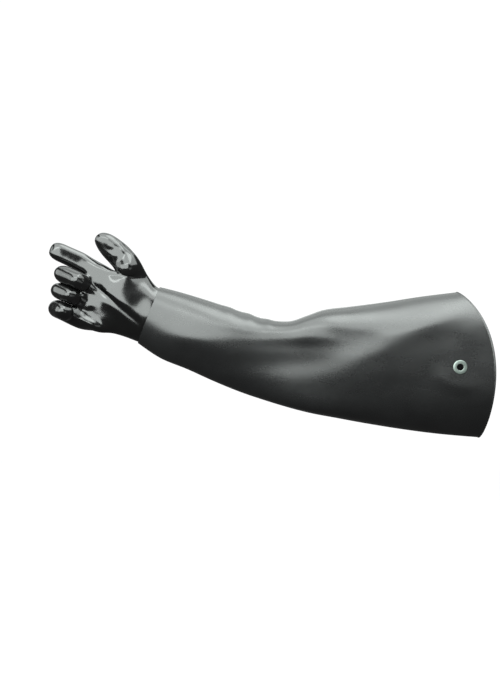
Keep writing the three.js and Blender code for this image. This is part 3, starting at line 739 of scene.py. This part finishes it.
class GLOVE_OT_sleeve(bpy.types.Operator):
    """Models the satin sleeve with its dents, its gathers and its raised edge"""

    bl_idname = "glove.sleeve"
    bl_label = "Sleeve"

    def execute(self, context):
        p = context.scene.glove_sizes
        places = self.places(p)
        bpy.ops.object.select_all(action="DESELECT")
        bpy.ops.mesh.primitive_cylinder_add(
            vertices=p.sleeve_sides, radius=1, depth=1, end_fill_type="NOTHING"
        )
        piece = named_primitive("satin_sleeve")
        bpy.ops.object.mode_set(mode="EDIT")
        bpy.ops.mesh.select_mode(type="EDGE")
        mesh = bmesh.from_edit_mesh(piece.data)
        for edge in mesh.edges:
            low, high = edge.verts
            edge.select_set(abs(low.co.z - high.co.z) > 0.5)
        bmesh.update_edit_mesh(piece.data)
        bpy.ops.mesh.subdivide(number_cuts=len(places) - 2)
        bpy.ops.object.mode_set(mode="OBJECT")
        steps = len(places) - 1
        for vertex in piece.data.vertices:
            place, rise = places[round((vertex.co.z + 0.5) * steps)]
            turn = math.atan2(vertex.co.y, vertex.co.x)
            point = sleeve_point(p, place, turn)
            if rise:
                ahead = sleeve_point(p, place, turn + PROBE) - sleeve_point(p, place, turn - PROBE)
                along = sleeve_point(p, place, turn) - sleeve_point(p, place - PROBE, turn)
                normal = ahead.cross(along).normalized()
                if normal.dot(point - Vector((point.x, 0, 0))) < 0:
                    normal.negate()
                point += normal * rise
            vertex.co = point
        piece.data.update()
        face_outwards(piece)
        apply_modifier(piece, "SOLIDIFY", thickness=p.wall, offset=-1)
        apply_modifier(piece, "SUBSURF", levels=1, render_levels=1)
        self.punch(p, piece)
        shade_smooth(piece)
        piece.data.materials.append(sleeve_rubber(context.scene.glove_finish))
        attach(piece, "root")
        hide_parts("sleeve")
        return {"FINISHED"}

    def places(self, p):
        """Where the rings stand along the sections, and how far each is raised: closer at both ends."""
        last = len(SECTIONS) - 1
        per_metre = 1 / (skin_point(p, last, 1.6) - skin_point(p, last - 1, 1.6)).length
        ends = [last - distance * per_metre for distance in NEAR_EDGE]
        bead = [(last - distance * per_metre, share * p.bead_rise) for distance, share in EDGE_RINGS]
        even = p.sleeve_rings - len(ends) - len(bead) - len(NEAR_WRIST)
        even_to = last - EVEN_TO * per_metre
        middle = [EVEN_FROM + (even_to - EVEN_FROM) * k / (even - 1) for k in range(even)]
        return [(place, 0.0) for place in (*NEAR_WRIST, *middle, *ends)] + bead

    def punch(self, p, piece):
        """Cuts the eyelet's hole."""
        seat = eyelet_seat(p)
        radius = p.eyelet_bore / 2 + p.eyelet_barrel + p.clearance
        bpy.ops.object.select_all(action="DESELECT")
        bpy.ops.mesh.primitive_cylinder_add(
            vertices=EYELET_SIDES,
            radius=radius,
            depth=DRILL_DEPTH,
            location=seat,
            rotation=(math.pi / 2, 0, 0),
        )
        drill = bpy.context.active_object
        apply_modifier(piece, "BOOLEAN", object=drill, operation="DIFFERENCE", solver="EXACT")
        bpy.data.objects.remove(drill)


class GLOVE_OT_eyelet(bpy.types.Operator):
    """Models the metal eyelet: a barrel through the sleeve with a rounded flange on each side"""

    bl_idname = "glove.eyelet"
    bl_label = "Eyelet"

    def execute(self, context):
        p = context.scene.glove_sizes
        seat = eyelet_seat(p)
        bore = p.eyelet_bore / 2
        rim = p.eyelet_flange / 2
        front, thick = p.clearance, p.eyelet_thickness
        rear = -p.wall - p.clearance
        outline = [
            (bore, rear * 0.5),
            (bore, front + thick * 0.35),
            (bore + thick * 0.25, front + thick * 0.8),
            (bore + thick * 0.8, front + thick),
            (mix(bore, rim, 0.45), front + thick * 0.97),
            (rim - thick * 1.2, front + thick * 0.85),
            (rim - thick * 0.35, front + thick * 0.6),
            (rim, front + thick * 0.25),
            (rim - thick * 0.1, front),
            (mix(bore, rim, 0.5), front + thick * 0.12),
            (bore + p.eyelet_barrel, front),
            (bore + p.eyelet_barrel, rear),
            (rim - thick, rear),
            (rim - thick * 0.7, rear - thick * 0.4),
            (rim - thick * 1.3, rear - thick * 0.8),
            (bore + thick * 0.8, rear - thick),
            (bore + thick * 0.1, rear - thick * 0.75),
        ]
        bpy.ops.object.select_all(action="DESELECT")
        bpy.ops.mesh.primitive_circle_add(vertices=len(outline), radius=1, fill_type="NOTHING")
        piece = named_primitive("metal_eyelet")
        for vertex, (radius, out) in zip(piece.data.vertices, outline):
            vertex.co = seat + Vector((radius, -out, 0))
        bpy.ops.object.mode_set(mode="EDIT")
        bpy.ops.mesh.select_all(action="SELECT")
        bpy.ops.mesh.spin(steps=EYELET_SIDES, angle=2 * math.pi, center=seat, axis=(0, 1, 0))
        bpy.ops.mesh.select_all(action="SELECT")
        bpy.ops.mesh.remove_doubles(threshold=1e-6)
        bpy.ops.mesh.normals_make_consistent(inside=False)
        bpy.ops.object.mode_set(mode="OBJECT")
        apply_modifier(piece, "SUBSURF", levels=2, render_levels=2)
        shade_smooth(piece)
        piece.data.materials.append(eyelet_metal(context.scene.glove_finish))
        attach(piece, "root")
        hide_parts("eyelet")
        return {"FINISHED"}


# Materials


def new_material(name):
    material = bpy.data.materials.new(name)
    material.use_nodes = True
    nodes, links = material.node_tree.nodes, material.node_tree.links
    return material, nodes, links, nodes["Principled BSDF"]


def noise(nodes, links, scale, detail=3.0, roughness=0.5, stretch=(1, 1, 1)):
    """A noise on Object coordinates; its Fac output."""
    place = nodes.new("ShaderNodeTexCoord")
    mapping = nodes.new("ShaderNodeMapping")
    mapping.inputs["Scale"].default_value = stretch
    texture = nodes.new("ShaderNodeTexNoise")
    texture.inputs["Scale"].default_value = scale
    texture.inputs["Detail"].default_value = detail
    texture.inputs["Roughness"].default_value = roughness
    links.new(place.outputs["Object"], mapping.inputs["Vector"])
    links.new(mapping.outputs["Vector"], texture.inputs["Vector"])
    return texture.outputs["Fac"]


def spread(nodes, links, source, low, high, to_low, to_high):
    """The source's range from low to high brought to the range from to_low to to_high."""
    node = nodes.new("ShaderNodeMapRange")
    links.new(source, node.inputs["Value"])
    for name, value in (("From Min", low), ("From Max", high), ("To Min", to_low), ("To Max", to_high)):
        node.inputs[name].default_value = value
    return node.outputs["Result"]


def between_colours(nodes, links, share, low, high):
    node = nodes.new("ShaderNodeMix")
    node.data_type = "RGBA"
    links.new(share, node.inputs["Factor"])
    node.inputs["A"].default_value = (*low, 1)
    node.inputs["B"].default_value = (*high, 1)
    return node.outputs["Result"]


def add_bump(nodes, links, height, distance, strength=1.0, under=None):
    node = nodes.new("ShaderNodeBump")
    node.inputs["Distance"].default_value = distance
    node.inputs["Strength"].default_value = strength
    links.new(height, node.inputs["Height"])
    if under is not None:
        links.new(under, node.inputs["Normal"])
    return node.outputs["Normal"]


def hand_rubber(finish):
    material, nodes, links, shader = new_material("hand_rubber")
    shade = spread(nodes, links, noise(nodes, links, 22, 4), 0.35, 0.7, 0, 1)
    dark = tuple(c * 0.8 for c in finish.hand)
    light = tuple(c * 1.35 for c in finish.hand)
    links.new(between_colours(nodes, links, shade, dark, light), shader.inputs["Base Color"])
    smear = noise(nodes, links, 60, 5, 0.6, (1, 1, 0.35))
    rough = spread(nodes, links, smear, 0.3, 0.75, finish.hand_roughness * 0.8, finish.hand_roughness * 1.5)
    links.new(rough, shader.inputs["Roughness"])
    waves = add_bump(nodes, links, noise(nodes, links, 26, 2), 0.0012, 0.35)
    skin = add_bump(nodes, links, noise(nodes, links, 900, 3, 0.6), 0.00006, 0.6, waves)
    links.new(skin, shader.inputs["Normal"])
    shader.inputs["IOR"].default_value = 1.54
    return material


def sleeve_rubber(finish):
    material, nodes, links, shader = new_material("sleeve_rubber")
    shade = spread(nodes, links, noise(nodes, links, 14, 5, 0.6), 0.35, 0.7, 0, 1)
    dark = tuple(c * 0.82 for c in finish.sleeve)
    light = tuple(c * 1.3 for c in finish.sleeve)
    links.new(between_colours(nodes, links, shade, dark, light), shader.inputs["Base Color"])
    smear = noise(nodes, links, 30, 6, 0.65, (0.4, 1, 1))
    rough = spread(
        nodes, links, smear, 0.3, 0.75, finish.sleeve_roughness * 0.86, finish.sleeve_roughness * 1.16
    )
    links.new(rough, shader.inputs["Roughness"])
    waves = add_bump(nodes, links, noise(nodes, links, 12, 1), 0.0015, 0.12)
    grain = add_bump(nodes, links, noise(nodes, links, 1400, 1, 0.5), 0.00005, 0.5, waves)
    links.new(grain, shader.inputs["Normal"])
    shader.inputs["IOR"].default_value = 1.52
    return material


def eyelet_metal(finish):
    material, nodes, links, shader = new_material("eyelet_metal")
    worn = spread(nodes, links, noise(nodes, links, 380, 5, 0.65), 0.35, 0.7, 0, 1)
    dull = tuple(c * 0.72 for c in finish.eyelet)
    links.new(between_colours(nodes, links, worn, dull, tuple(finish.eyelet)), shader.inputs["Base Color"])
    links.new(spread(nodes, links, worn, 0, 1, 0.42, 0.26), shader.inputs["Roughness"])
    links.new(add_bump(nodes, links, noise(nodes, links, 700, 4), 0.00005, 0.6), shader.inputs["Normal"])
    shader.inputs["Metallic"].default_value = 0.85
    return material


def plain_white(name, glow):
    material, nodes, links, shader = new_material(name)
    shader.inputs["Base Color"].default_value = (0.86, 0.86, 0.86, 1)
    shader.inputs["Roughness"].default_value = 0.9
    shader.inputs["Emission Color"].default_value = (1, 1, 1, 1)
    shader.inputs["Emission Strength"].default_value = glow
    return material


class GLOVE_OT_stage(bpy.types.Operator):
    """Adds the plain floor with its backdrop, the soft lights and the camera"""

    bl_idname = "glove.stage"
    bl_label = "Stage"

    def execute(self, context):
        s = context.scene.glove_stage
        middle = Vector((s.centre_x, 0, s.centre_z))
        self.floor(s, middle)
        self.softbox("softbox_front", Vector((-2.2, -1.9, 0.92)), Vector((-2.2, 0, 0.92)), (4.0, 2.0), 200)
        self.softbox("softbox_above", Vector((-0.6, -1.0, 1.9)), Vector((-0.6, 0.0, -0.1)), (2.4, 1.9), 100)
        self.softbox("softbox_overhead", Vector((-0.4, 0.85, 2.3)), Vector((-0.4, 0.85, 0)), (3.2, 2.0), 60)
        self.softbox("softbox_behind", Vector((-0.5, 2.0, 1.3)), Vector((-0.5, 0, 1.1)), (3.4, 2.0), 32)
        self.softbox("softbox_thumb", Vector((0.5, -0.6, 1.5)), Vector((-0.6, 0, 0.2)), (1.4, 1.8), 40)
        self.softbox("softbox_left", Vector((-2.6, -0.3, 0.9)), Vector((-0.7, 0, 0.15)), (1.6, 1.6), 40)
        self.softbox("softbox_rim", Vector((0.75, -1.9, -0.25)), Vector((0.0, 0, 0.0)), (0.9, 0.8), 3)
        self.world(context)
        self.camera(context, s, middle)
        return {"FINISHED"}

    def floor(self, s, middle):
        """A wide white floor, with the white world as its backdrop. The rubber doesn't reflect it."""
        bpy.ops.object.select_all(action="DESELECT")
        bpy.ops.mesh.primitive_plane_add(size=1)
        floor = named_primitive("stage_floor")
        for vertex in floor.data.vertices:
            x, y = vertex.co.x * s.floor_breadth, vertex.co.y * s.floor_breadth
            vertex.co = Vector((middle.x + x, y, -s.floor_drop))
        floor.data.materials.append(plain_white("floor_white", 0.9))
        floor.visible_glossy = False
        floor.visible_diffuse = False

    def softbox(self, name, place, target, size, power):
        data = bpy.data.lights.new(name, "AREA")
        data.shape = "RECTANGLE"
        data.size, data.size_y = size
        data.energy = power
        data.color = (0.94, 1.0, 0.975)
        light = bpy.data.objects.new(name, data)
        bpy.context.scene.collection.objects.link(light)
        light.location = place
        light.rotation_euler = (target - place).to_track_quat("-Z", "Y").to_euler()
        light.visible_camera = False

    def world(self, context):
        world = bpy.data.worlds.new("studio")
        context.scene.world = world
        world.use_nodes = True
        nodes, links = world.node_tree.nodes, world.node_tree.links
        background = nodes["Background"]
        background.inputs["Color"].default_value = (1, 1, 1, 1)
        path = nodes.new("ShaderNodeLightPath")
        strength = nodes.new("ShaderNodeMapRange")
        strength.inputs["To Min"].default_value = 0.12
        strength.inputs["To Max"].default_value = 1.05
        links.new(path.outputs["Is Camera Ray"], strength.inputs["Value"])
        links.new(strength.outputs["Result"], background.inputs["Strength"])

    def camera(self, context, s, middle):
        data = bpy.data.cameras.new("camera")
        data.sensor_width = 36
        data.lens = 36 / s.frame_height * s.camera_distance
        data.clip_end = 100
        camera = bpy.data.objects.new("camera", data)
        context.scene.collection.objects.link(camera)
        camera.location = middle - Vector((0, s.camera_distance, 0))
        camera.rotation_euler = (math.pi / 2, 0, 0)
        context.scene.camera = camera
        context.scene.view_settings.view_transform = "Standard"


class GLOVE_PT_panel(bpy.types.Panel):
    """Sizes and finish of the glove, and a button for each piece"""

    bl_idname = "GLOVE_PT_panel"
    bl_label = "Glove"
    bl_space_type = "VIEW_3D"
    bl_region_type = "UI"
    bl_category = "Glove"

    def draw(self, context):
        for group in ("glove_sizes", "glove_finish", "glove_stage"):
            box = self.layout.box()
            values = getattr(context.scene, group)
            for name in values.__annotations__:
                box.prop(values, name)
        for operator in ("glove.hand", "glove.sleeve", "glove.eyelet", "glove.stage"):
            self.layout.operator(operator)


CLASSES = (
    GloveSizes,
    GloveFinish,
    StageSizes,
    GLOVE_OT_hand,
    GLOVE_OT_sleeve,
    GLOVE_OT_eyelet,
    GLOVE_OT_stage,
    GLOVE_PT_panel,
)


def register():
    for cls in CLASSES:
        bpy.utils.register_class(cls)
    bpy.types.Scene.glove_sizes = PointerProperty(type=GloveSizes)
    bpy.types.Scene.glove_finish = PointerProperty(type=GloveFinish)
    bpy.types.Scene.glove_stage = PointerProperty(type=StageSizes)


def unregister():
    for name in ("glove_sizes", "glove_finish", "glove_stage"):
        delattr(bpy.types.Scene, name)
    for cls in reversed(CLASSES):
        bpy.utils.unregister_class(cls)


def main():
    register()
    bpy.ops.glove.hand()
    bpy.ops.glove.sleeve()
    bpy.ops.glove.eyelet()
    bpy.ops.glove.stage()


if __name__ == "__main__":
    main()
